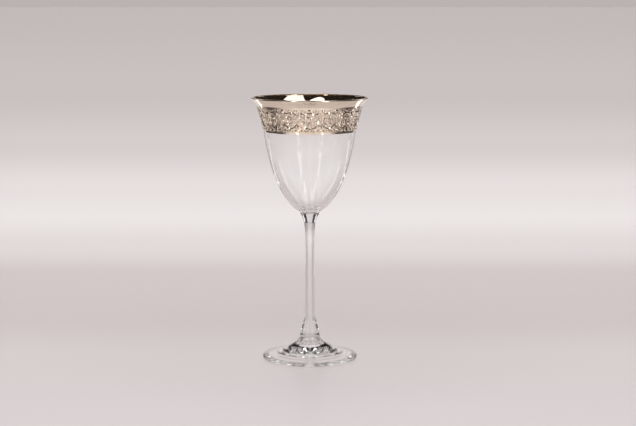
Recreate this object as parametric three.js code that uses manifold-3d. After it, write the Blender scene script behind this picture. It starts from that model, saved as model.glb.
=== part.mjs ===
// White wine glass: a blown bell bowl, a drawn stem and a trumpet foot, fused end to end.
// The bowl's upper third carries a platinum frieze between a plain band and a border line.
// Millimetres, +Z up, the foot stands on Z = 0 and the glass turns about the Z axis.

import * as THREE from 'three';
import { mergeVertices } from 'three/addons/utils/BufferGeometryUtils.js';
import Module from 'manifold-3d';

const wasm = await Module();
wasm.setup();

// Overall sizes
const HEIGHT = 203.7;
const RIM_DIAMETER = 90.4;
const FOOT_DIAMETER = 74;

// The stem and the heights at which it meets its neighbours
const FOOT_JOINT = 22;
const BOWL_JOINT = 115.2;
const STEM_DIAMETER = 6.9;
const HEEL_DIAMETER = 13.6;
const CAPITAL_DIAMETER = 16;

// Thickness of the glass
const LIP_WALL = 0.9;
const BOTTOM_WALL = 3.6;
const FOOT_EDGE = 2.2;
const FOOT_HOLLOW = 5.6;

// The platinum decoration, its depths measured down from the lip
const BAND_DEPTH = 26;
const PLAIN_DEPTH = 7;
const LIP_LINE_DEPTH = 2.8;
const BORDER_HEIGHT = 1.2;
const FILM = 0.2;
const RELIEF = 0.3;
const SCROLLS = 16;

// Clearances
const FILM_SEAT = 0.05;
const RELIEF_SEAT = 0.1;
const LINE_GAP = 0.1;

const SEGMENTS = 52;
const STEM_SEGMENTS = 36;

const rimRadius = RIM_DIAMETER / 2;
const footRadius = FOOT_DIAMETER / 2;
const stemRadius = STEM_DIAMETER / 2;
const heelRadius = HEEL_DIAMETER / 2;
const capitalRadius = CAPITAL_DIAMETER / 2;
const skin = FILM_SEAT + FILM;

const v2 = (x, y) => new THREE.Vector2(x, y);
const polar = (centre, radius, angle) =>
  v2(centre.x + radius * Math.cos(angle), centre.y + radius * Math.sin(angle));

// Evenly spaced values between two limits, both included.
function spread(low, high, steps) {
  return Array.from({ length: steps + 1 }, (_, i) => low + ((high - low) * i) / steps);
}

// Points along a cubic curve, with or without the last, which may belong to the next curve.
function bend(controls, steps, withLast = true) {
  const points = new THREE.CubicBezierCurve(...controls).getPoints(steps);
  return withLast ? points : points.slice(0, -1);
}

// Unit normals of an open outline, on its right-hand side.
function normals(outline) {
  return outline.map((_, i) => {
    const before = outline[Math.max(i - 1, 0)];
    const after = outline[Math.min(i + 1, outline.length - 1)];
    const along = after.clone().sub(before).normalize();
    return v2(along.y, -along.x);
  });
}

// An open outline moved to its right by a distance given for each point.
function shifted(outline, distanceAt) {
  const side = normals(outline);
  return outline.map((point, i) => point.clone().addScaledVector(side[i], distanceAt(i)));
}

// A solid of revolution from an outline of (radius, height) points.
function turned(outline, segments = SEGMENTS) {
  return new THREE.LatheGeometry(outline, segments).rotateX(Math.PI / 2);
}

// A thin closed skin that follows a run of the bowl's outer wall at the seat clearance.
function filmOn(run) {
  const inner = shifted(run, () => FILM_SEAT);
  const outer = shifted(run, () => skin);
  return turned([...inner.reverse(), ...outer, inner[0].clone()]);
}

// Bowl: the outer wall swells from the stem joint, turns out along the flare and ends in a rounded lip.
const bowlHeight = HEIGHT - BOWL_JOINT;
const onGrid = (radius, height) => v2(rimRadius * radius, BOWL_JOINT + bowlHeight * height);
const lipRound = LIP_WALL / 2;
const lipLean = THREE.MathUtils.degToRad(44);
const lipCentre = v2(rimRadius - skin - lipRound, HEIGHT - skin - lipRound);
const lipOuter = polar(lipCentre, lipRound, lipLean - Math.PI / 2);
const lipInner = polar(lipCentre, lipRound, lipLean + Math.PI / 2);
const lipArc = [0.25, 0.5, 0.75].map(
  (part) => polar(lipCentre, lipRound, lipLean + Math.PI * (part - 0.5)),
);

const bellyEnd = onGrid(0.782, 0.693);
const flareEnd = onGrid(0.896, 0.935);
const bellyStart = v2(capitalRadius * 1.04, BOWL_JOINT);
const bellyCurve = [bellyStart, onGrid(0.489, 0.0935), onGrid(0.696, 0.36), bellyEnd];
const flareCurve = [bellyEnd, onGrid(0.791, 0.776), onGrid(0.862, 0.866), flareEnd];
const lipCurve = [flareEnd, onGrid(0.904, 0.965), polar(lipOuter, -rimRadius * 0.068, lipLean), lipOuter];
const fineWall = [...bend(bellyCurve, 60, false), ...bend(flareCurve, 40, false), ...bend(lipCurve, 20)];

// The point of the outer wall at a height.
function wallPoint(height) {
  const i = fineWall.findIndex((point, k) => k > 0 && point.y >= height);
  const low = fineWall[i - 1];
  const high = fineWall[i];
  return low.clone().lerp(high, (height - low.y) / (high.y - low.y));
}

const borderLow = HEIGHT - BAND_DEPTH;
const friezeLow = borderLow + BORDER_HEIGHT;
const friezeHigh = HEIGHT - PLAIN_DEPTH;
const lineLow = HEIGHT - LIP_LINE_DEPTH;

const bellyRun = bend(bellyCurve, 11).filter((point) => point.y < borderLow - LIP_WALL);
const bandHeights = [
  borderLow, ...spread(friezeLow, friezeHigh, 4), ...spread(friezeHigh, lineLow, 2).slice(1),
];
const outerWall = [...bellyRun, ...bandHeights.map(wallPoint), lipOuter];

// The wall is thickest at the bottom of the bowl and thins towards the lip.
function wallThickness(i) {
  const fall = (lipOuter.y - outerWall[i].y) / (lipOuter.y - BOWL_JOINT);
  return LIP_WALL + (BOTTOM_WALL - LIP_WALL) * Math.pow(fall, 1.5);
}

const innerWall = shifted(outerWall, (i) => -wallThickness(i)).slice(0, -1).reverse();
const innerFloor = innerWall[innerWall.length - 1].y - LIP_WALL / 3;
const bowlOutline = [
  v2(0, BOWL_JOINT), ...outerWall, ...lipArc, lipInner, ...innerWall, v2(0, innerFloor),
];

// Stem: heel on the foot, small shoulder, slim shaft and flared capital under the bowl.
const stemLength = BOWL_JOINT - FOOT_JOINT;
const onStem = (radius, part) => v2(radius, FOOT_JOINT + stemLength * part);
const heel = onStem(heelRadius, 0);
const shoulder = onStem(stemRadius * 1.46, 0.074);
const ankle = onStem(stemRadius * 1.18, 0.101);
const waist = onStem(stemRadius, 0.708);
const neck = onStem(stemRadius * 1.28, 0.906);
const capital = onStem(capitalRadius, 1);
const stemOutline = [
  v2(0, FOOT_JOINT),
  ...bend([heel, onStem(heelRadius * 0.93, 0.02), onStem(stemRadius * 1.63, 0.05), shoulder], 3, false),
  ...bend([shoulder, onStem(stemRadius * 1.4, 0.086), onStem(stemRadius * 1.2, 0.088), ankle], 3, false),
  ...bend([ankle, onStem(stemRadius * 1.13, 0.3), onStem(stemRadius * 1.01, 0.515), waist], 4, false),
  ...bend([waist, onStem(stemRadius, 0.794), onStem(stemRadius * 1.16, 0.858), neck], 3, false),
  ...bend([neck, onStem(stemRadius * 1.36, 0.93), onStem(capitalRadius * 0.82, 0.961), capital], 4),
  v2(0, BOWL_JOINT),
];

// Foot: hollow underside, flat resting ring, rounded edge and trumpet that rises to the stem's heel.
const ringInner = footRadius * 0.85;
const ringOuter = footRadius - FOOT_EDGE * 0.55;
const edgeTop = v2(footRadius - FOOT_EDGE * 0.4, FOOT_EDGE);
const throat = v2(heelRadius * 1.13, FOOT_JOINT * 0.79);
const hollowCurve = [
  v2(0, FOOT_HOLLOW), v2(ringInner * 0.286, FOOT_HOLLOW * 0.964),
  v2(ringInner * 0.604, FOOT_HOLLOW * 0.518), v2(ringInner, 0),
];
const edgeCurve = [
  v2(ringOuter, 0), v2(footRadius * 1.006, 0), v2(footRadius * 1.006, FOOT_EDGE * 0.85), edgeTop,
];
const trumpetCurve = [
  edgeTop, v2(footRadius * 0.69, FOOT_EDGE * 2.1), v2(heelRadius * 1.31, FOOT_JOINT * 0.41), throat,
];
const footOutline = [
  ...bend(hollowCurve, 5),
  ...bend(edgeCurve, 4, false),
  ...bend(trumpetCurve, 7),
  v2(heelRadius * 1.08, FOOT_JOINT * 0.9),
  v2(heelRadius, FOOT_JOINT),
  v2(0, FOOT_JOINT),
];

// Platinum films: each takes its own stretch of the bowl's outer wall, the lip line also rounds the lip.
const borderRun = spread(borderLow, friezeLow - LINE_GAP, 1).map(wallPoint);
const friezeRun = spread(friezeLow, friezeHigh, 4).map(wallPoint);
const plainRun = spread(friezeHigh + LINE_GAP, lineLow, 2).map(wallPoint);
const lineRun = [wallPoint(lineLow + LINE_GAP), lipOuter, ...lipArc, lipInner];

// Frieze relief: a waving vine that curls into a tendril with a rosette in every hollow.
// It is drawn flat, along the girth in x and up the wall in y, then wrapped onto the ground.
const groundRun = shifted(friezeRun, () => skin);
const groundSide = normals(groundRun);
const climb = groundRun.reduce((list, point, i) => {
  list.push(i ? list[i - 1] + point.distanceTo(groundRun[i - 1]) : 0);
  return list;
}, []);
const friezeTall = climb[climb.length - 1];
const girthRadius = (groundRun[0].x + groundRun[groundRun.length - 1].x) / 2;
const girth = 2 * Math.PI * girthRadius;
const hollow = girth / SCROLLS;
const middle = friezeTall / 2;
const swing = friezeTall * 0.33;
const vineHalf = hollow * 0.034;

// A ribbon along a list of centre points, with a half-width given along it.
function ribbon(centres, halfWidthAt) {
  const share = (i) => halfWidthAt(i / (centres.length - 1));
  return [...shifted(centres, share), ...shifted(centres, (i) => -share(i)).reverse()];
}

const vineHeight = (x) => middle + swing * Math.cos((Math.PI * x) / hollow);

function vine() {
  const centres = spread(-hollow, girth + hollow, (SCROLLS + 2) * 6).map((x) => v2(x, vineHeight(x)));
  return ribbon(centres, () => vineHalf);
}

// The tendril leaves the vine on its far flank and winds inward round the hollow's centre.
function tendril(centre, side) {
  const centres = spread(0, 1, 13).map((part) => {
    const radius = hollow * 0.49 * (1 - 0.8 * Math.pow(part, 0.85));
    return polar(centre, radius, side * (0.2 - 2.6 * Math.PI * part));
  });
  return ribbon(centres, (part) => vineHalf * (1 - 0.35 * part));
}

function rosette(centre) {
  return spread(0, 9, 9).map((i) => polar(centre, hollow * (i % 2 ? 0.125 : 0.17), (Math.PI * i) / 5));
}

// A pointed leaf that grows from a root on the vine.
function leaf(root, angle) {
  const length = hollow * 0.33;
  const rib = spread(0, 4, 4).map((i) => polar(root, (length * i) / 4, angle));
  return ribbon(rib, (part) => length * 0.22 * Math.sin(Math.PI * (0.08 + 0.9 * part)));
}

// The outlines that belong to one hollow, above or below the vine in turn.
function scroll(index) {
  const side = index % 2 ? -1 : 1;
  const x = index * hollow;
  const centre = v2(x, middle - side * swing * 0.12);
  const ahead = x + hollow * 0.3;
  const behind = x - hollow * 0.3;
  return [
    tendril(centre, side),
    rosette(centre),
    leaf(v2(ahead, vineHeight(ahead)), side * 0.95),
    leaf(v2(behind, vineHeight(behind)), Math.PI - side * 0.95),
  ];
}

// All outlines joined into one flat figure, cut into upright strips, one for each hollow.
const stripEdge = (index) => (index + 0.03) * hollow;

function reliefStrips() {
  const outlines = [vine(), ...spread(0, SCROLLS, SCROLLS).flatMap(scroll)];
  const pieces = outlines.map((points) => {
    const loop = THREE.ShapeUtils.isClockWise(points) ? points.reverse() : points;
    return new wasm.CrossSection([loop.map((point) => [point.x, point.y])], 'NonZero');
  });
  const whole = wasm.CrossSection.union(pieces);
  return spread(0, SCROLLS - 1, SCROLLS - 1).map((index) => {
    const window = wasm.CrossSection.square([hollow, friezeTall]).translate([stripEdge(index), 0]);
    const figure = new THREE.ShapePath();
    figure.subPaths = whole.intersect(window).toPolygons()
      .map((loop) => new THREE.Path(loop.map(([x, y]) => v2(x, y))));
    return figure.toShapes(true);
  });
}

// The place on the wall for a point drawn flat at (x, y), standing clear of the ground by a height.
function onGround(x, y, height) {
  const i = Math.min(Math.max(climb.findIndex((step) => step >= y), 1), climb.length - 1);
  const part = (y - climb[i - 1]) / (climb[i] - climb[i - 1]);
  const foot = groundRun[i - 1].clone().lerp(groundRun[i], part);
  const out = groundSide[i - 1].clone().lerp(groundSide[i], part).normalize();
  const spot = foot.addScaledVector(out, RELIEF_SEAT + height);
  const angle = x / girthRadius;
  return [spot.x * Math.cos(angle), spot.x * Math.sin(angle), spot.y];
}

// The strips raised and wrapped round the bowl; their cut sides are left open and meet their neighbours.
function reliefGeometry() {
  const places = [];
  reliefStrips().forEach((shapes, index) => {
    const flat = new THREE.ExtrudeGeometry(shapes, { depth: RELIEF, bevelEnabled: false });
    const from = flat.attributes.position;
    for (let i = 0; i < from.count; i += 3) {
      const corners = [i, i + 1, i + 2].map((k) => new THREE.Vector3().fromBufferAttribute(from, k));
      const onCut = (edge) => corners.every((corner) => Math.abs(corner.x - edge) < 1e-4);
      if (onCut(stripEdge(index)) || onCut(stripEdge(index + 1))) continue;
      corners.forEach((corner) => places.push(...onGround(corner.x, corner.y, corner.z)));
    }
  });
  const wrapped = new THREE.BufferGeometry();
  wrapped.setAttribute('position', new THREE.Float32BufferAttribute(places, 3));
  const welded = mergeVertices(wrapped, 1e-3);
  welded.computeVertexNormals();
  return welded;
}

const glass = () => new THREE.MeshStandardMaterial({
  color: '#eef3f2', roughness: 0.03, metalness: 0, transparent: true, opacity: 0.35,
});
const platinum = (roughness) =>
  new THREE.MeshStandardMaterial({ color: '#c9c2b8', roughness, metalness: 1 });

const part = new THREE.Group();
part.name = 'white_wine_glass';

function add(name, geometry, material) {
  const mesh = new THREE.Mesh(geometry, material);
  mesh.name = name;
  part.add(mesh);
}

add('bowl', turned(bowlOutline), glass());
add('stem', turned(stemOutline, STEM_SEGMENTS), glass());
add('foot', turned(footOutline), glass());
add('lip_line', filmOn(lineRun), platinum(0.08));
add('plain_band', filmOn(plainRun), platinum(0.08));
add('frieze_ground', filmOn(friezeRun), platinum(0.45));
add('frieze_relief', reliefGeometry(), platinum(0.18));
add('border_line', filmOn(borderRun), platinum(0.08));

export default part;
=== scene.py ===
"""White wine glass: blown clear glass with a fired platinum band round its lip.

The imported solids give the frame. Each of them is replaced here by a finer
piece of the same form, turned or drawn in Blender and dressed in its finish.
Lengths are written in millimetres and become metres when a mesh is made.
"""

import logging
import math
from bisect import bisect_right
from dataclasses import dataclass, field
from enum import Enum
from itertools import accumulate
from random import Random
from typing import Any, Iterable, Mapping, Sequence

import bmesh
import bpy
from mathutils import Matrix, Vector
from mathutils.geometry import interpolate_bezier


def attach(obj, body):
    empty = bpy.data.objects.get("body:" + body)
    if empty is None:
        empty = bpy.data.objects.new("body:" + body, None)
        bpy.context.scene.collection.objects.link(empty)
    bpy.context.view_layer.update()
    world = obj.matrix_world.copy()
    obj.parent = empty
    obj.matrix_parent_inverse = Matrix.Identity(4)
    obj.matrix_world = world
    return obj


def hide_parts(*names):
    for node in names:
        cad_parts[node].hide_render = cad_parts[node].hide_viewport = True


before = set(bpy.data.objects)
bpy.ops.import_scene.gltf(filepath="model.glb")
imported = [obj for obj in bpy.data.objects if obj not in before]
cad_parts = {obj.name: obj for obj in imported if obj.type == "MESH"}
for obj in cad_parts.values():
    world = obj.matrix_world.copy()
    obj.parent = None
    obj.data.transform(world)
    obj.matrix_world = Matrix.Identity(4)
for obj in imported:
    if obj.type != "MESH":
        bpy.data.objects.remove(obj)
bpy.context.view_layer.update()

MM = 0.001
LOG = logging.getLogger("wine_glass")

Point = tuple[float, float]


# Helpers shared by all pieces


def linear(code: str) -> tuple[float, float, float, float]:
    """Turns an sRGB hex colour into the linear RGBA that the nodes take.

    Args:
        code: Six hex digits, with or without a leading hash.

    Returns:
        Linear red, green and blue, and an alpha of one.
    """
    digits = code.lstrip("#")
    parts = [int(digits[i:i + 2], 16) / 255 for i in (0, 2, 4)]
    red, green, blue = (
        p / 12.92 if p <= 0.04045 else ((p + 0.055) / 1.055) ** 2.4 for p in parts
    )
    return red, green, blue, 1.0


def add_node(
    tree: bpy.types.NodeTree,
    kind: str,
    values: Mapping[Any, Any] | None = None,
    links: Mapping[Any, bpy.types.NodeSocket] | None = None,
    **settings: Any,
) -> bpy.types.Node:
    """Adds one node with its settings, socket values and incoming links.

    Args:
        tree: Node tree that gets the node.
        kind: Blender's name of the node type.
        values: Default values by input name or number.
        links: Output sockets to join, by input name or number.
        **settings: Attributes of the node itself.

    Returns:
        The new node.
    """
    made = tree.nodes.new(kind)
    for name, value in settings.items():
        setattr(made, name, value)
    for key, value in (values or {}).items():
        made.inputs[key].default_value = value
    for key, socket in (links or {}).items():
        tree.links.new(socket, made.inputs[key])
    return made


def fill_ramp(ramp: bpy.types.ColorRamp, stops: Sequence[tuple[float, str]]) -> None:
    """Sets a colour ramp to the given stops.

    Args:
        ramp: Ramp of a Color Ramp node, with its two first stops.
        stops: Positions and sRGB hex colours, in rising order.
    """
    while len(ramp.elements) < len(stops):
        ramp.elements.new(1.0)
    for element, (place, code) in zip(ramp.elements, stops):
        element.position = place
        element.color = linear(code)


def new_material(name: str) -> tuple[bpy.types.Material, bpy.types.NodeTree]:
    """Makes an empty node material with its output node.

    Args:
        name: Name of the material.

    Returns:
        The material and its cleared node tree.
    """
    material = bpy.data.materials.new(name)
    material.use_nodes = True
    material.node_tree.nodes.clear()
    material.node_tree.nodes.new("ShaderNodeOutputMaterial")
    return material, material.node_tree


def show(tree: bpy.types.NodeTree, shader: bpy.types.Node) -> None:
    """Joins a shader's first output to the surface of the material."""
    tree.links.new(shader.outputs[0], tree.nodes["Material Output"].inputs["Surface"])


def bend(*controls: Point, steps: int) -> list[Vector]:
    """Points along one cubic curve of an outline.

    Args:
        *controls: Four control points, each a radius and a height in mm.
        steps: Number of straight steps along the curve.

    Returns:
        The points in metres, with both ends.
    """
    knots = [Vector((r * MM, 0.0, z * MM)) for r, z in controls]
    return interpolate_bezier(*knots, steps + 1)


def chain(*runs: Sequence[Vector]) -> list[Vector]:
    """Joins runs of points into one outline and drops repeated points.

    Args:
        *runs: Runs that follow each other.

    Returns:
        One run of points.
    """
    joined: list[Vector] = []
    for point in (p for run in runs for p in run):
        if not joined or (point - joined[-1]).length > 1e-7:
            joined.append(point)
    return joined


def beside(run: Sequence[Vector], gap: float) -> list[Vector]:
    """Moves an outline sideways, to the right of its direction.

    Args:
        run: Points in the plane of radius and height.
        gap: Distance in mm; a rising outline moves away from the axis.

    Returns:
        The moved points.
    """
    moved = []
    for i, point in enumerate(run):
        along = (run[min(i + 1, len(run) - 1)] - run[max(i - 1, 0)]).normalized()
        moved.append(point + Vector((along.z, 0.0, -along.x)) * gap * MM)
    return moved


def turn(outline: Sequence[Vector], steps: int, closed: bool = False) -> bmesh.types.BMesh:
    """Turns an outline round the upright axis into a closed skin.

    Args:
        outline: Points of radius and height; an open outline starts and
            ends on the axis.
        steps: Number of steps round the axis.
        closed: Whether the outline's end joins its start, as in a ring.

    Returns:
        A mesh with its poles merged and its faces outward.
    """
    skin = bmesh.new()
    points = [skin.verts.new(p) for p in outline]
    pairs = list(zip(points, points[1:])) + ([(points[-1], points[0])] if closed else [])
    edges = [skin.edges.new(pair) for pair in pairs]
    bmesh.ops.spin(
        skin, geom=points + edges, cent=(0, 0, 0), axis=(0, 0, 1),
        angle=math.tau, steps=steps, use_merge=True, use_duplicate=False,
    )
    bmesh.ops.remove_doubles(skin, verts=skin.verts, dist=1e-6)
    bmesh.ops.recalc_face_normals(skin, faces=skin.faces)
    return skin


def add_piece(
    name: str,
    skin: bmesh.types.BMesh,
    finishes: Sequence[bpy.types.Material],
    node: str,
    sharp: float = 50.0,
) -> bpy.types.Object:
    """Makes a finished piece of a mesh, in place of one solid.

    Args:
        name: Name of the piece.
        skin: Its mesh, which is used up.
        finishes: Its materials, in the order of the faces' numbers.
        node: Name of the solid that the piece replaces.
        sharp: Edges steeper than this many degrees stay crisp.

    Returns:
        The object, riding on the part's one body.
    """
    mesh = bpy.data.meshes.new(name)
    for face in skin.faces:
        face.smooth = True
    skin.to_mesh(mesh)
    skin.free()
    mesh.set_sharp_from_angle(angle=math.radians(sharp))
    for finish in finishes:
        mesh.materials.append(finish)
    piece = bpy.data.objects.new(name, mesh)
    bpy.context.scene.collection.objects.link(piece)
    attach(piece, "root")
    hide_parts(node)
    LOG.info("%s: %d faces", name, len(mesh.polygons))
    return piece


# Finishes


@dataclass(frozen=True)
class BlownGlass:
    """Clear crystal glass, blown in a mould and fire polished.

    The fire leaves a skin without scratches that still wavers a little, so
    straight reflections bend softly along it.
    """

    name: str = "blown_clear_glass"
    tint: str = "FFFFFF"
    shade: str = "FAFAFA"
    ior: float = 1.5
    waver_mm: float = 14.0
    waver_depth_mm: float = 0.012

    def make(self) -> bpy.types.Material:
        """Builds the material.

        Returns:
            The finished material.
        """
        material, tree = new_material(self.name)
        place = add_node(tree, "ShaderNodeTexCoord")
        waver = add_node(
            tree, "ShaderNodeTexNoise",
            {"Scale": 1 / (self.waver_mm * MM), "Detail": 1.0, "Roughness": 0.4},
            {"Vector": place.outputs["Object"]},
        )
        bump = add_node(
            tree, "ShaderNodeBump",
            {"Strength": 1.0, "Distance": self.waver_depth_mm * MM},
            {"Height": waver.outputs[0]},
        )
        glass = add_node(
            tree, "ShaderNodeBsdfPrincipled",
            {"Base Color": linear(self.tint), "Roughness": 0.0, "IOR": self.ior,
             "Transmission Weight": 1.0},
            {"Normal": bump.outputs["Normal"]},
        )
        clear = add_node(tree, "ShaderNodeBsdfTransparent", {"Color": linear(self.shade)})
        path = add_node(tree, "ShaderNodeLightPath")
        show(tree, add_node(
            tree, "ShaderNodeMixShader", None,
            {0: path.outputs["Is Shadow Ray"], 1: glass.outputs[0], 2: clear.outputs[0]},
        ))
        return material


@dataclass(frozen=True)
class FusedJoint:
    """Glass melted to glass, which leaves no face to see between two pieces."""

    name: str = "fused_glass_joint"

    def make(self) -> bpy.types.Material:
        """Builds the material.

        Returns:
            The finished material.
        """
        material, tree = new_material(self.name)
        show(tree, add_node(tree, "ShaderNodeBsdfPrincipled", {"Alpha": 0.0}))
        return material


class Polish(Enum):
    """How far a platinum face was polished, as its least and greatest roughness."""

    MIRROR = (0.02, 0.05)
    SATIN = (0.05, 0.09)
    MATT = (0.1, 0.16)


@dataclass(frozen=True)
class FiredPlatinum:
    """Bright platinum lustre, painted on and fired into the glass.

    The metal is a thin warm grey film. Brush laps show as soft clouds, and
    it copies the face below it: a mirror on bare glass, a fine sparkle of
    pits where the glass was etched first. Real pits are about a tenth of a
    millimetre wide; the grain is drawn coarser, so that it shows.
    """

    name: str
    polish: Polish
    light_tone: str = "F6E9D8"
    deep_tone: str = "ECDDCA"
    clouds_mm: float = 5.0
    grain_mm: float = 0.5
    grain_depth_mm: float = 0.0

    def make(self) -> bpy.types.Material:
        """Builds the material.

        Returns:
            The finished material.
        """
        material, tree = new_material(self.name)
        place = add_node(tree, "ShaderNodeTexCoord").outputs["Object"]
        clouds = add_node(
            tree, "ShaderNodeTexNoise",
            {"Scale": 1 / (self.clouds_mm * MM), "Detail": 4.0, "Roughness": 0.6},
            {"Vector": place},
        )
        tone = add_node(tree, "ShaderNodeValToRGB", links={"Fac": clouds.outputs[0]})
        fill_ramp(tone.color_ramp, [(0.35, self.deep_tone), (0.65, self.light_tone)])
        smooth, dull = self.polish.value
        rough = add_node(
            tree, "ShaderNodeMapRange",
            {"From Min": 0.3, "From Max": 0.7, "To Min": smooth, "To Max": dull},
            {"Value": clouds.outputs[0]},
        )
        links = {"Base Color": tone.outputs["Color"], "Roughness": rough.outputs["Result"]}
        if self.grain_depth_mm:
            grain = add_node(
                tree, "ShaderNodeTexNoise",
                {"Scale": 1 / (self.grain_mm * MM), "Detail": 2.0, "Roughness": 0.55},
                {"Vector": place},
            )
            pits = add_node(
                tree, "ShaderNodeBump",
                {"Strength": 1.0, "Distance": self.grain_depth_mm * MM},
                {"Height": grain.outputs[0]},
            )
            links["Normal"] = pits.outputs["Normal"]
        show(tree, add_node(tree, "ShaderNodeBsdfPrincipled", {"Metallic": 1.0}, links))
        return material


# The glass


@dataclass
class GlassForm:
    """Bowl, stem and foot: the outlines that all pieces share, in mm."""

    height: float = 203.7
    lip_radius: float = 45.2
    foot_joint: float = 22.0
    bowl_joint: float = 115.2
    stem_radius: float = 3.45
    lip_wall: float = 0.9
    bottom_wall: float = 3.6
    lip_round: float = 0.45
    lip_lean: float = math.radians(44)
    lip_centre: Point = (44.5, 203.0)
    lip_run_in: float = 3.5
    flare_run_out: Point = (0.13, 0.5)
    joint_reach: float = 8.0
    heel_radius: float = 6.8
    floor_rise: float = 2.6
    floor_reach: float = 6.6
    floor_clear: float = 0.35
    floor_start: Point = (2.2, 0.38)
    floor_flat: float = 2.4
    foot_hollow: float = 5.6
    ring_pitch: float = 4.6
    ring_depth: float = 0.06
    ring_span: Point = (10.0, 33.0)
    steps: int = 192
    stem_steps: int = 96

    def on_grid(self, across: float, up: float) -> Point:
        """A point of the bowl as shares of the lip's radius and the bowl's height."""
        rise = self.height - self.bowl_joint
        return self.lip_radius * across, self.bowl_joint + rise * up

    def on_stem(self, radius: float, share: float) -> Point:
        """A point of the stem at a share of its height."""
        return radius, self.foot_joint + (self.bowl_joint - self.foot_joint) * share

    def lip_point(self, angle: float) -> Point:
        """A point round the lip's bead; angles are measured from outward."""
        r, z = self.lip_centre
        return r + self.lip_round * math.cos(angle), z + self.lip_round * math.sin(angle)

    def bead(self, count: int) -> list[Vector]:
        """Points over the lip's bead, from its outer side inward.

        Args:
            count: How many of the twelve steps of the half round to take.

        Returns:
            Points in metres.
        """
        turns = (self.lip_lean + math.pi * (i / 12 - 0.5) for i in range(1, count + 1))
        return [Vector((r * MM, 0.0, z * MM)) for r, z in map(self.lip_point, turns)]

    def bowl_wall(self) -> list[Vector]:
        """The bowl's outer wall from the joint up to the lip's bead.

        Three curves follow each other: the belly, the flare and the lip. The
        lip leans further out all the way up, so that its mirror image of
        the room has no fold.

        Returns:
            Points in metres, close enough for smooth reflections.
        """
        belly_end = self.on_grid(0.782, 0.693)
        flare_end = self.on_grid(0.896, 0.935)
        r, z = self.lip_point(self.lip_lean - math.pi / 2)
        back = self.lip_run_in
        before = (r - back * math.cos(self.lip_lean), z - back * math.sin(self.lip_lean))
        out, up = self.flare_run_out
        after = (flare_end[0] + out, flare_end[1] + up)
        belly = bend(
            (8.32, self.bowl_joint), self.on_grid(0.489, 0.0935),
            self.on_grid(0.696, 0.36), belly_end, steps=56,
        )
        flare = bend(
            belly_end, self.on_grid(0.791, 0.776), self.on_grid(0.862, 0.866),
            flare_end, steps=28,
        )
        lip = bend(flare_end, after, before, (r, z), steps=16)
        return chain(belly, flare, lip)

    def bowl_outline(self) -> list[Vector]:
        """The bowl's whole outline: joint, outer wall, lip, inner wall, floor.

        Returns:
            An open outline from axis to axis.
        """
        outer = self.bowl_wall()
        top, low = outer[-1].z, self.bowl_joint * MM
        inner = []
        for i, point in enumerate(outer):
            along = (outer[min(i + 1, len(outer) - 1)] - outer[max(i - 1, 0)]).normalized()
            fall = (top - point.z) / (top - low)
            wall = self.lip_wall + (self.bottom_wall - self.lip_wall) * fall ** 1.5
            inner.append(point + Vector((-along.z, 0.0, along.x)) * wall * MM)
        floor_height = low + self.floor_rise * MM
        clear = floor_height + self.floor_clear * MM
        inner = [p for p in inner if p.x > self.floor_reach * MM and p.z > clear]
        start, (inward, down) = inner[0], self.floor_start
        floor = bend(
            (start.x / MM, start.z / MM),
            (start.x / MM - inward, start.z / MM - down),
            (self.floor_flat, floor_height / MM), (0.0, floor_height / MM), steps=12,
        )
        joint = [Vector((0.0, 0.0, low)), Vector((self.joint_reach * MM, 0.0, low))]
        return chain(joint, outer, self.bead(11), inner[::-1], floor)

    def stem_outline(self) -> list[Vector]:
        """The stem's outline: heel, ring, drawn shaft and flared top.

        Returns:
            An open outline from axis to axis.
        """
        s, at = self.stem_radius, self.on_stem
        shaft = chain(
            bend(at(self.heel_radius, 0), at(6.32, 0.02), at(1.63 * s, 0.05),
                 at(1.46 * s, 0.074), steps=16),
            bend(at(1.46 * s, 0.074), at(1.4 * s, 0.086), at(1.2 * s, 0.088),
                 at(1.18 * s, 0.101), steps=10),
            bend(at(1.18 * s, 0.101), at(1.13 * s, 0.3), at(1.01 * s, 0.515),
                 at(s, 0.708), steps=40),
            bend(at(s, 0.708), at(s, 0.794), at(1.16 * s, 0.858), at(1.28 * s, 0.906), steps=20),
            bend(at(1.28 * s, 0.906), at(1.36 * s, 0.93), at(6.56, 0.961),
                 at(self.joint_reach, 1), steps=16),
        )
        foot, top = Vector((0, 0, self.foot_joint * MM)), Vector((0, 0, self.bowl_joint * MM))
        return chain([foot], shaft, [top])

    def ringed(self, run: Sequence[Vector]) -> list[Vector]:
        """Adds the faint rings that the shaping tool leaves on a turning foot.

        Args:
            run: Points of the foot's smooth top.

        Returns:
            The points, raised and lowered by a fraction of a millimetre.
        """
        start, end = self.ring_span
        waved = []
        for point in run:
            radius = point.x / MM
            share = min(max((radius - start) / (end - start), 0.0), 1.0)
            wave = math.sin(math.pi * share) * math.sin(math.tau * radius / self.ring_pitch)
            waved.append(point + Vector((0.0, 0.0, self.ring_depth * wave * MM)))
        return waved

    def foot_outline(self) -> list[Vector]:
        """The foot's outline: hollow, resting ring, rounded edge, trumpet.

        Returns:
            An open outline from axis to axis.
        """
        deep = self.foot_hollow
        hollow = bend((0, deep), (9.0, deep - 0.2), (19.0, 2.9), (31.5, 0), steps=40)
        edge = bend((35.79, 0), (37.22, 0), (37.22, 1.87), (36.12, 2.2), steps=14)
        trumpet = bend((36.12, 2.2), (25.53, 4.62), (8.91, 9.02), (7.68, 17.38), steps=150)
        neck = bend((7.68, 17.38), (7.57, 18.2), (7.34, 19.8), self.on_stem(self.heel_radius, 0),
                    steps=8)
        top = Vector((0, 0, self.foot_joint * MM))
        return chain(hollow, edge, self.ringed(trumpet), neck, [top])

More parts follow.
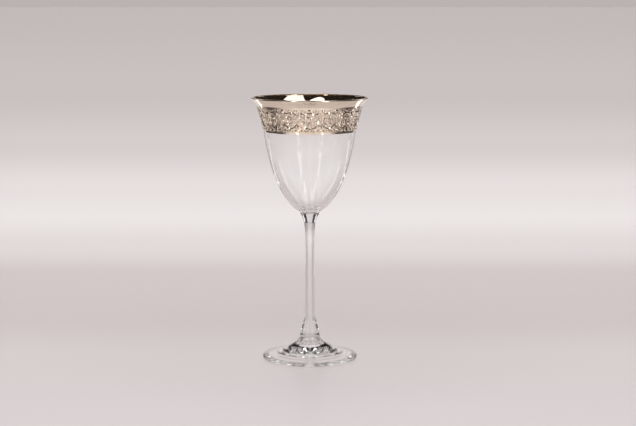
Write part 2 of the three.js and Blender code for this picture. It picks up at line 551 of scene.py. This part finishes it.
    def build(self, glass: bpy.types.Material, joint: bpy.types.Material) -> None:
        """Turns the three glass pieces and dresses them.

        Args:
            glass: Finish of all free faces.
            joint: Finish of the faces where two pieces are fused.
        """
        for name, outline, steps in (
            ("bowl", self.bowl_outline(), self.steps),
            ("stem", self.stem_outline(), self.stem_steps),
            ("foot", self.foot_outline(), self.steps),
        ):
            skin = turn(outline, steps)
            for face in skin.faces:
                spot = face.calc_center_median()
                level = min(abs(spot.z - z * MM) for z in (self.foot_joint, self.bowl_joint))
                reach = math.hypot(spot.x, spot.y)
                face.material_index = int(level < 1e-6 and reach < self.joint_reach * MM)
            add_piece(f"{name}_blown", skin, [glass, joint], name, sharp=40.0)


# The platinum


@dataclass
class PlatinumFilms:
    """Metal films on the outer wall and round the lip, in mm."""

    form: GlassForm
    seat: float = 0.05
    film: float = 0.2
    border_low: float = 177.7
    frieze_low: float = 178.9
    frieze_high: float = 196.7
    line_low: float = 200.9
    gap: float = 0.02

    def between(self, low: float, high: float) -> list[Vector]:
        """The stretch of the bowl's outer wall between two heights.

        Args:
            low: Lower height in mm.
            high: Upper height in mm.

        Returns:
            Points in metres, with both ends cut exactly.
        """
        wall = self.form.bowl_wall()

        def cut(height: float) -> Vector:
            """Finds the wall's point at a height.

            Args:
                height: Height in mm.

            Returns:
                The point, or the wall's upper end if the height is above it.
            """
            for lower, upper in zip(wall, wall[1:]):
                if lower.z <= height * MM <= upper.z:
                    return lower.lerp(upper, (height * MM - lower.z) / (upper.z - lower.z))
            return wall[-1]

        inside = [p for p in wall if low * MM < p.z < high * MM]
        return chain([cut(low)], inside, [cut(high)])

    def ring(self, run: Sequence[Vector]) -> bmesh.types.BMesh:
        """Turns a thin closed film over a stretch of the wall."""
        inner, outer = beside(run, self.seat), beside(run, self.seat + self.film)
        return turn(chain(inner, outer[::-1]), self.form.steps, closed=True)

    def lip_run(self) -> list[Vector]:
        """The wall above the plain band and on over the lip's bead."""
        wall = self.between(self.line_low + self.gap, self.form.height)
        return chain(wall, self.form.bead(12))

    def build(self, mirror: bpy.types.Material, etched: bpy.types.Material) -> None:
        """Makes the four films and dresses them.

        Args:
            mirror: Finish of the plain films.
            etched: Finish of the ground behind the raised figure.
        """
        films = (
            ("border_line", self.between(self.border_low, self.frieze_low - self.gap),
             mirror, "polished_platinum"),
            ("frieze_ground", self.between(self.frieze_low, self.frieze_high),
             etched, "etched_platinum"),
            ("plain_band", self.between(self.frieze_high + self.gap, self.line_low),
             mirror, "polished_platinum"),
            ("lip_line", self.lip_run(), mirror, "polished_platinum"),
        )
        for name, run, finish, slot in films:
            add_piece(f"{name}_fired", self.ring(run), [finish], name)


@dataclass
class Stroke:
    """One raised stroke: points along the band and up it, with half widths.

    Its ridge stands as high as the half width times the ridge's share.
    """

    path: list[Point]
    halves: list[float]
    ridge: float


@dataclass
class ScrollFrieze:
    """A running vine with curled tendrils, leaves and rosettes, in mm.

    The figure is drawn flat, as long as the band's girth at mid height, and
    then laid round the flared wall.
    """

    films: PlatinumFilms
    scrolls: int = 16
    vine_ridge: float = 0.5
    low_ridge: float = 0.6
    high_ridge: float = 1.05
    bury: float = 0.1
    petals: int = 5
    dash_drop: float = 0.9
    dashes: tuple[Point, ...] = ((0.3, 0.75), (0.18, 0.5), (0.26, 0.65), (0.14, 0.6))
    scallop_rise: float = 0.5
    bead_half: float = 0.5
    bead_gap: float = 0.5
    bead_room: float = 0.75
    bead_tries: int = 4000
    strokes: list[Stroke] = field(default_factory=list)
    run: list[Vector] = field(init=False)
    marks: list[float] = field(init=False)
    tall: float = field(init=False)
    middle: float = field(init=False)
    girth: float = field(init=False)
    hollow: float = field(init=False)
    swing: float = field(init=False)

    def __post_init__(self) -> None:
        """Measures the wall that carries the figure."""
        run = self.films.between(self.films.frieze_low, self.films.frieze_high)
        self.run = beside(run, self.films.seat + self.films.film)
        lengths = [(b - a).length / MM for a, b in zip(self.run, self.run[1:])]
        self.marks = [0.0, *accumulate(lengths)]
        self.tall = self.marks[-1]
        self.middle = self.tall / 2
        self.girth = math.tau * self.spot(self.middle)[0].x / MM
        self.hollow = self.girth / self.scrolls
        self.swing = 0.33 * self.tall

    def spot(self, along: float) -> tuple[Vector, Vector]:
        """Point and outward direction of the wall at a distance up it.

        Args:
            along: Distance in mm from the frieze's lower edge.

        Returns:
            The point in metres and the outward unit vector, both at the
            outline's own turn.
        """
        i = min(max(bisect_right(self.marks, along) - 1, 0), len(self.run) - 2)
        share = (along - self.marks[i]) / (self.marks[i + 1] - self.marks[i])
        low, high = self.run[i], self.run[i + 1]
        way = (high - low).normalized()
        return low.lerp(high, share), Vector((way.z, 0.0, -way.x))

    def draw(
        self, path: Iterable[Point], halves: Iterable[float], ridge: float | None = None,
    ) -> None:
        """Adds one stroke to the figure, with the low ridge if none is given."""
        self.strokes.append(Stroke(list(path), list(halves), ridge or self.low_ridge))

    def leaf(self, root: Point, angle: float, length: float, half: float, curl: float) -> None:
        """Adds a pointed leaf that curls to one side.

        Args:
            root: Where the leaf springs from.
            angle: Its first direction, from along the band.
            length: Its length.
            half: Half of its greatest width.
            curl: How far it turns on its way, in radians.
        """
        path, (x, y) = [root], root
        count = 6
        for i in range(count):
            way = angle + curl * i / count
            x += length / count * math.cos(way)
            y += length / count * math.sin(way)
            path.append((x, y))
        swell = (0.35, 0.8, 1.0, 0.95, 0.72, 0.4, 0.08)
        self.draw(path, (half * s for s in swell))

    def vine_height(self, x: float) -> float:
        """Height of the main vine at a place along the band."""
        return self.middle + self.swing * math.cos(math.pi * x / self.hollow)

    def tendril_spot(self, index: int, share: float) -> Point:
        """Finds a point of a curled tendril.

        Args:
            index: Number of the hollow round the band.
            share: Share of the tendril's way in, from the vine.

        Returns:
            Place along the band and up it.
        """
        side = 1 if index % 2 == 0 else -1
        reach = self.hollow * 0.49 * (1 - 0.8 * share ** 0.85)
        turned = side * (0.2 - 2.6 * math.pi * share)
        centre = (index * self.hollow, self.middle - side * 0.12 * self.swing)
        return centre[0] + reach * math.cos(turned), centre[1] + reach * math.sin(turned)

    def draw_scroll(self, index: int) -> None:
        """Draws one hollow of the vine: tendril, leaves and rosette.

        Args:
            index: Number of the hollow round the band.
        """
        unit, side = self.hollow, 1 if index % 2 == 0 else -1
        shares = [i / 30 for i in range(31)]
        self.draw(
            (self.tendril_spot(index, t) for t in shares),
            (unit * (0.045 - 0.02 * t) for t in shares), self.vine_ridge,
        )
        for count, share in enumerate((0.06, 0.16, 0.26, 0.36, 0.47, 0.58)):
            x, y = self.tendril_spot(index, share)
            ahead = self.tendril_spot(index, share + 0.01)
            way = math.atan2(ahead[1] - y, ahead[0] - x)
            outward = 1 if count % 2 == 0 else -1
            self.leaf(
                (x, y), way + side * outward * 0.9, unit * (0.22 - 0.1 * share),
                unit * 0.066, -side * outward * 1.1,
            )
        centre = self.tendril_spot(index, 1.0)
        for petal in range(self.petals):
            way = petal * math.tau / self.petals + 0.4
            self.leaf(centre, way, unit * 0.16, unit * 0.058, 0.5)
        for lean in (-1, 1):
            x = index * unit + lean * 0.3 * unit
            root = (x, self.vine_height(x))
            base = math.pi / 2 * side - lean * side * 0.62
            for fan, size in ((-0.62, 0.18), (0.0, 0.26), (0.62, 0.18)):
                self.leaf(root, base + fan, unit * size, unit * 0.068, fan * 0.8)

    def draw_edges(self) -> None:
        """Draws the row of dashes above the figure and the scallops below it."""
        count = self.scrolls * 3
        pitch = self.girth / count
        for i in range(count):
            x = i * pitch
            long, half = self.dashes[i % len(self.dashes)]
            level = self.tall - self.dash_drop
            self.draw(
                ((x + pitch * s, level) for s in (-long, -long / 2, long / 2, long)),
                (0.2, half, half, 0.2),
            )
            foot = self.scallop_rise
            self.draw(
                ((x + pitch * 0.44 * math.cos(a), foot + pitch * 0.3 * math.sin(a))
                 for a in (math.pi * s / 6 for s in range(7))),
                (0.2, 0.45, 0.6, 0.65, 0.6, 0.45, 0.2), self.high_ridge,
            )

    def draw_stipple(self) -> None:
        """Fills the ground between the strokes of every two hollows with beads."""
        span = 2 * self.hollow
        taken = [
            (x % span, y, half)
            for stroke in self.strokes
            for (x, y), half in zip(stroke.path, stroke.halves) if -span < x < 2 * span
        ]
        chance = Random(11)
        beads: list[Point] = []
        for _ in range(self.bead_tries):
            x, y = chance.uniform(0, span), chance.uniform(1.8, self.tall - 1.6)
            clear = all(
                math.hypot((x - u + span / 2) % span - span / 2, y - v) > half + self.bead_gap
                for u, v, half in taken
            )
            if clear:
                beads.append((x, y))
                taken.append((x, y, self.bead_room))
        for x, y in beads:
            lean = chance.uniform(0, math.pi)
            ends = (-self.bead_half, 0, self.bead_half)
            for turn_count in range(self.scrolls // 2):
                u = x + turn_count * span
                self.draw(
                    ((u + s * math.cos(lean), y + s * math.sin(lean)) for s in ends),
                    (0.12, self.bead_half, 0.12), self.high_ridge,
                )

    def draw_figure(self) -> None:
        """Draws the whole figure: vine, scrolls, both edge rows and beads."""
        steps = self.scrolls * 16
        xs = [self.girth * (i + 0.5) / steps for i in range(-1, steps + 1)]
        self.draw(((x, self.vine_height(x)) for x in xs), (self.hollow * 0.045 for _ in xs),
                  self.vine_ridge)
        for index in range(self.scrolls):
            self.draw_scroll(index)
        self.draw_edges()
        self.draw_stipple()

    def wrapped(self, flat: Vector) -> Vector:
        """Lays a point of the flat figure round the wall.

        Args:
            flat: Place along the band, up it and off it, in mm.

        Returns:
            The point in metres on the bowl.
        """
        point, outward = self.spot(flat.y)
        lift = max(flat.z, -self.bury)
        spot = point + outward * lift * MM
        around = math.tau * flat.x / self.girth - math.pi / 2
        return Vector((spot.x * math.cos(around), spot.x * math.sin(around), spot.z))

    def swept(self, ridge: float) -> bpy.types.Mesh:
        """Sweeps all strokes of one ridge as roof shaped bars on the flat.

        Args:
            ridge: Height of the ridge as a share of the half width.

        Returns:
            A mesh in mm, as long as the band's girth.
        """
        drawing = bpy.data.curves.new("frieze_drawing", "CURVE")
        drawing.dimensions = "3D"
        drawing.bevel_depth = 1.0
        drawing.bevel_resolution = 0
        drawing.use_fill_caps = True
        for stroke in (s for s in self.strokes if s.ridge == ridge):
            line = drawing.splines.new("POLY")
            line.points.add(len(stroke.path) - 1)
            for knot, (x, y), half in zip(line.points, stroke.path, stroke.halves):
                knot.co, knot.radius = (x, y, 0.0, 1.0), half
        sheet = bpy.data.objects.new("frieze_drawing", drawing)
        mesh = bpy.data.meshes.new_from_object(sheet)
        bpy.data.objects.remove(sheet)
        bpy.data.curves.remove(drawing)
        for vert in mesh.vertices:
            vert.co.z *= ridge
        return mesh

    def build(self, satin: bpy.types.Material) -> None:
        """Sweeps the strokes, lays them round the bowl and dresses them.

        Args:
            satin: Finish of the raised figure.
        """
        self.draw_figure()
        skin = bmesh.new()
        for ridge in (self.vine_ridge, self.low_ridge, self.high_ridge):
            mesh = self.swept(ridge)
            skin.from_mesh(mesh)
            bpy.data.meshes.remove(mesh)
        for vert in skin.verts:
            vert.co = self.wrapped(vert.co)
        bmesh.ops.remove_doubles(skin, verts=skin.verts, dist=1e-6)
        bmesh.ops.recalc_face_normals(skin, faces=skin.faces)
        add_piece("frieze_relief_raised", skin, [satin], "frieze_relief",
                  sharp=30.0)


# The studio


@dataclass(frozen=True)
class Overhead:
    """The wide soft light above, which lights the table and casts soft shadows."""

    place: tuple[float, float, float] = (0.0, -0.6, 3.0)
    elevation: float = 78.0
    width: float = 90.0
    glow: float = 1.75

    def build(self) -> None:
        """Hangs the light; metal and glass don't mirror it."""
        lamp = bpy.data.lights.new("overhead_light", "SUN")
        lamp.angle = math.radians(self.width)
        lamp.energy = self.glow * math.tau * (1 - math.cos(lamp.angle / 2))
        stand = bpy.data.objects.new("overhead_light", lamp)
        stand.location = self.place
        stand.rotation_euler = (math.radians(90 - self.elevation), 0.0, 0.0)
        stand.visible_camera = stand.visible_glossy = stand.visible_transmission = False
        bpy.context.scene.collection.objects.link(stand)


class Facing(Enum):
    """Which way a panel faces, as its tilt in degrees."""

    DOWN = 0.0
    LEVEL = 90.0
    UP = 180.0


class Cut(Enum):
    """Outline of a panel."""

    SQUARE = "RECTANGLE"
    ROUND = "ELLIPSE"


@dataclass(frozen=True)
class SoftPanel:
    """A white panel that metal and glass mirror, in metres and degrees."""

    name: str
    place: tuple[float, float, float]
    size: Point
    turned: float
    glow: float
    facing: Facing = Facing.DOWN
    cut: Cut = Cut.SQUARE

    def build(self) -> None:
        """Sets the panel up, out of the camera's sight.

        A panel that lies on the table only shows where it is mirrored.
        """
        lamp = bpy.data.lights.new(self.name, "AREA")
        lamp.shape = self.cut.value
        lamp.size, lamp.size_y = self.size
        lamp.energy = self.glow * math.pi * lamp.size * lamp.size_y
        stand = bpy.data.objects.new(self.name, lamp)
        stand.location = self.place
        stand.rotation_euler = (
            math.radians(self.facing.value), 0.0, math.radians(self.turned),
        )
        stand.visible_camera = stand.visible_diffuse = False
        stand.visible_transmission = self.facing is not Facing.UP
        bpy.context.scene.collection.objects.link(stand)


@dataclass(frozen=True)
class DimPool:
    """A painted dark reflection: a soft darker zone at both sides of the table, in metres.

    Only mirrors show it: it darkens the metal toward its sides, and the table
    stays pale to the eye and through the glass.
    """

    centre: Point
    inner: float
    outer: float
    depth: float
    tone: str = "8A8482"


@dataclass
class Studio:
    """Pale table, surrounding light, soft lights and camera."""

    overhead: Overhead = Overhead()
    panels: tuple[SoftPanel, ...] = (
        SoftPanel("roof_panel_right", (0.7, -0.36, 2.2), (0.92, 1.28), 0.0, 1.45),
        SoftPanel("roof_panel_left", (-0.37, -0.68, 2.2), (0.72, 1.28), 13.5, 1.25,
                  cut=Cut.ROUND),
        SoftPanel("front_panel_right", (1.09, -1.68, 2.0), (0.4, 3.6), 33.0, 3.2, Facing.LEVEL),
        SoftPanel("front_panel_left", (-1.09, -1.68, 2.0), (0.25, 3.6), -33.0, 3.2, Facing.LEVEL),
        SoftPanel("side_panel_right", (1.53, 1.29, 1.1), (0.6, 1.2), 130.0, 1.8, Facing.LEVEL),
        SoftPanel("side_panel_left", (-1.53, 1.29, 1.1), (0.6, 1.2), -130.0, 1.8, Facing.LEVEL),
        SoftPanel("front_strip_right", (0.309, -0.503, 0.004), (0.03, 0.38), 31.6, 1.7,
                  Facing.UP),
        SoftPanel("front_strip_left", (-0.286, -0.516, 0.004), (0.045, 0.38), -29.0, 1.7,
                  Facing.UP),
        SoftPanel("table_strip_right", (0.4, 0.33, 0.004), (0.11, 0.46), 100.0, 1.3, Facing.UP),
        SoftPanel("table_strip_left", (-0.41, 0.43, 0.004), (0.11, 0.46), -111.0, 1.3, Facing.UP),
    )
    # painted dark reflections at both sides of the table, seen only in mirrors
    dim_pools: tuple[DimPool, ...] = (
        DimPool((0.7, -0.02), 0.2, 0.46, 1.0, "504A48"),
        DimPool((0.82, 0.52), 0.22, 0.46, 1.0, "504A48"),
        DimPool((3.0, -0.1), 1.5, 2.4, 0.85),
    )
    backdrop_stops: tuple[tuple[float, str], ...] = (
        (0.0, "BBB2B2"), (0.03, "C0B7B7"), (0.055, "C5BDBD"), (0.08, "CBC3C3"), (0.2, "DCD4D4"),
    )
    ceiling: str = "231F1B"
    backdrop_middle: float = 0.15
    backdrop_reach: Point = (0.27, 0.8)
    backdrop_edge: Point = (1.04, 0.95)
    skyline: Point = (0.07, -0.03)
    camera_place: tuple[float, float, float] = (0.00637, -1.1976, 0.2778)
    camera_pitch: float = 7.8
    camera_lens: float = 88.075
    camera_sensor: float = 36.0
    bounces: int = 40
    table_radius: float = 60.0
    table_level: float = -0.0004
    table_rough: float = 0.25
    table_sheen: float = 0.1
    table_start: float = -1.2
    table_nearest: float = 0.3
    table_scale: float = 0.8
    # painted light: a brighter pool behind the glass, a brighter front and a darker far table
    painted_light_stops: tuple[tuple[float, str], ...] = (
        (0.008, "B2A9A9"), (0.168, "C0B8B8"), (0.264, "D1C9C9"), (0.344, "E6E0E0"),
        (0.4, "ECE7E7"), (0.456, "DFD8D8"), (0.512, "CBC1C1"), (0.592, "C8BEBE"),
        (0.67, "D1C9C9"), (0.79, "D3CCCD"), (0.9, "EDE5E3"),
    )

    def build_table(self) -> None:
        """Makes the wide table top, with a painted pool of light in a soft zone behind the glass.

        It is a lacquered board: a smooth pale coat with a faint, soft sheen.
        The painted tone follows the table's scale over the distance from its start, so that the
        zones of painted light run evenly up the picture; the far table is painted darker and the
        front brighter.
        """
        skin = bmesh.new()
        bmesh.ops.create_circle(skin, cap_ends=True, segments=64, radius=self.table_radius)
        bmesh.ops.translate(skin, verts=skin.verts, vec=(0, 0, self.table_level))
        mesh = bpy.data.meshes.new("table_top")
        skin.to_mesh(mesh)
        skin.free()
        material, tree = new_material("pale_lacquered_board")
        place = add_node(
            tree, "ShaderNodeSeparateXYZ",
            links={0: add_node(tree, "ShaderNodeTexCoord").outputs["Object"]},
        )
        away = add_node(tree, "ShaderNodeMath", {1: self.table_start}, {0: place.outputs["Y"]},
                        operation="SUBTRACT")
        near = add_node(tree, "ShaderNodeMath", {1: self.table_nearest}, {0: away.outputs[0]},
                        operation="MAXIMUM")
        share = add_node(tree, "ShaderNodeMath", {0: self.table_scale}, {1: near.outputs[0]},
                         operation="DIVIDE")
        # painted pool of light and painted falloff, by distance from the table's start
        tone = add_node(tree, "ShaderNodeValToRGB", links={"Fac": share.outputs[0]})
        tone.color_ramp.interpolation = "EASE"
        fill_ramp(tone.color_ramp, self.painted_light_stops)
        aside = add_node(tree, "ShaderNodeMath", None, {0: place.outputs["X"]},
                         operation="ABSOLUTE")
        spot = add_node(tree, "ShaderNodeCombineXYZ", None,
                        {0: aside.outputs[0], 1: place.outputs["Y"]})
        board = tone.outputs["Color"]
        path = add_node(tree, "ShaderNodeLightPath")
        # painted dark reflection: mirrored rays see the table darker in each pool
        for pool in self.dim_pools:
            reach = add_node(tree, "ShaderNodeVectorMath", {1: (*pool.centre, 0.0)},
                             {0: spot.outputs[0]}, operation="DISTANCE")
            dim = add_node(
                tree, "ShaderNodeMapRange",
                {"From Min": pool.outer, "From Max": pool.inner, "To Max": pool.depth},
                {"Value": reach.outputs["Value"]}, interpolation_type="SMOOTHSTEP",
            )
            mirrored = add_node(
                tree, "ShaderNodeMath", None,
                {0: dim.outputs["Result"], 1: path.outputs["Is Reflection Ray"]},
                operation="MULTIPLY",
            )
            board = add_node(
                tree, "ShaderNodeMix", {7: linear(pool.tone)},
                {0: mirrored.outputs[0], 6: board}, data_type="RGBA",
            ).outputs[2]
        show(tree, add_node(
            tree, "ShaderNodeBsdfPrincipled",
            {"Roughness": self.table_rough, "Specular IOR Level": self.table_sheen},
            {"Base Color": board},
        ))
        mesh.materials.append(material)
        table = bpy.data.objects.new("table_top", mesh)
        bpy.context.scene.collection.objects.link(table)

    def build_surround(self) -> None:
        """Makes the dark room with a narrow pale backdrop behind the table."""
        world = bpy.data.worlds.new("studio_surround")
        bpy.context.scene.world = world
        world.use_nodes = True
        tree = world.node_tree
        tree.nodes.clear()
        way = add_node(tree, "ShaderNodeTexCoord").outputs["Generated"]
        part = add_node(tree, "ShaderNodeSeparateXYZ", None, {0: way})
        wide, tall = self.backdrop_reach
        edge_out, edge_in = self.backdrop_edge
        sky_high, sky_low = self.skyline
        spot = add_node(
            tree, "ShaderNodeVectorMath",
            {1: (1 / wide, 0.0, 1 / tall), 2: (0.0, 0.0, -self.backdrop_middle / tall)},
            {0: way}, operation="MULTIPLY_ADD",
        )
        reach = add_node(tree, "ShaderNodeVectorMath", None, {0: spot.outputs[0]},
                         operation="LENGTH")
        arch = add_node(
            tree, "ShaderNodeMapRange", {"From Min": edge_out, "From Max": edge_in},
            {"Value": reach.outputs["Value"]}, interpolation_type="SMOOTHSTEP",
        )
        behind = add_node(tree, "ShaderNodeMath", {1: 0.0}, {0: part.outputs["Y"]},
                          operation="GREATER_THAN")
        backdrop = add_node(tree, "ShaderNodeMath", None,
                            {0: arch.outputs["Result"], 1: behind.outputs[0]},
                            operation="MULTIPLY")
        low = add_node(
            tree, "ShaderNodeMapRange", {"From Min": sky_high, "From Max": sky_low},
            {"Value": part.outputs["Z"]}, interpolation_type="SMOOTHSTEP",
        )
        pale = add_node(tree, "ShaderNodeMath", None,
                        {0: backdrop.outputs[0], 1: low.outputs["Result"]},
                        operation="MAXIMUM")
        paper = add_node(tree, "ShaderNodeValToRGB", links={"Fac": part.outputs["Z"]})
        fill_ramp(paper.color_ramp, self.backdrop_stops)
        tone = add_node(
            tree, "ShaderNodeMix", {6: linear(self.ceiling)},
            {0: pale.outputs[0], 7: paper.outputs["Color"]}, data_type="RGBA",
        )
        glow = add_node(tree, "ShaderNodeBackground", {"Strength": 1.0}, {0: tone.outputs[2]})
        add_node(tree, "ShaderNodeOutputWorld", links={"Surface": glow.outputs[0]})

    def build_camera(self) -> None:
        """Sets the camera a little above the lip, looking slightly down."""
        lens = bpy.data.cameras.new("camera")
        lens.lens, lens.sensor_width = self.camera_lens, self.camera_sensor
        stand = bpy.data.objects.new("camera", lens)
        stand.location = self.camera_place
        stand.rotation_euler = (math.radians(90 - self.camera_pitch), 0.0, 0.0)
        bpy.context.scene.collection.objects.link(stand)
        bpy.context.scene.camera = stand

    def build(self) -> None:
        """Sets up the table, the light and the camera."""
        self.build_table()
        self.build_surround()
        self.overhead.build()
        for panel in self.panels:
            panel.build()
        self.build_camera()
        scene = bpy.context.scene
        scene.view_settings.view_transform = "Standard"
        for kind in ("max_bounces", "transmission_bounces", "glossy_bounces"):
            setattr(scene.cycles, kind, self.bounces)


def main() -> None:
    """Builds the glass, its platinum and the studio."""
    logging.basicConfig(level=logging.INFO, format="%(name)s: %(message)s")
    form = GlassForm()
    films = PlatinumFilms(form)
    form.build(BlownGlass().make(), FusedJoint().make())
    films.build(
        FiredPlatinum("burnished_platinum_film", Polish.MIRROR).make(),
        FiredPlatinum(
            "etched_platinum_ground", Polish.MATT, light_tone="F2E4D4", deep_tone="E2D2C0",
            clouds_mm=2.0, grain_mm=1.4, grain_depth_mm=0.25,
        ).make(),
    )
    ScrollFrieze(films).build(
        FiredPlatinum(
            "raised_platinum_figure", Polish.SATIN, clouds_mm=1.5,
            grain_mm=0.4, grain_depth_mm=0.004,
        ).make(),
    )
    Studio().build()


if __name__ == "__main__":
    main()
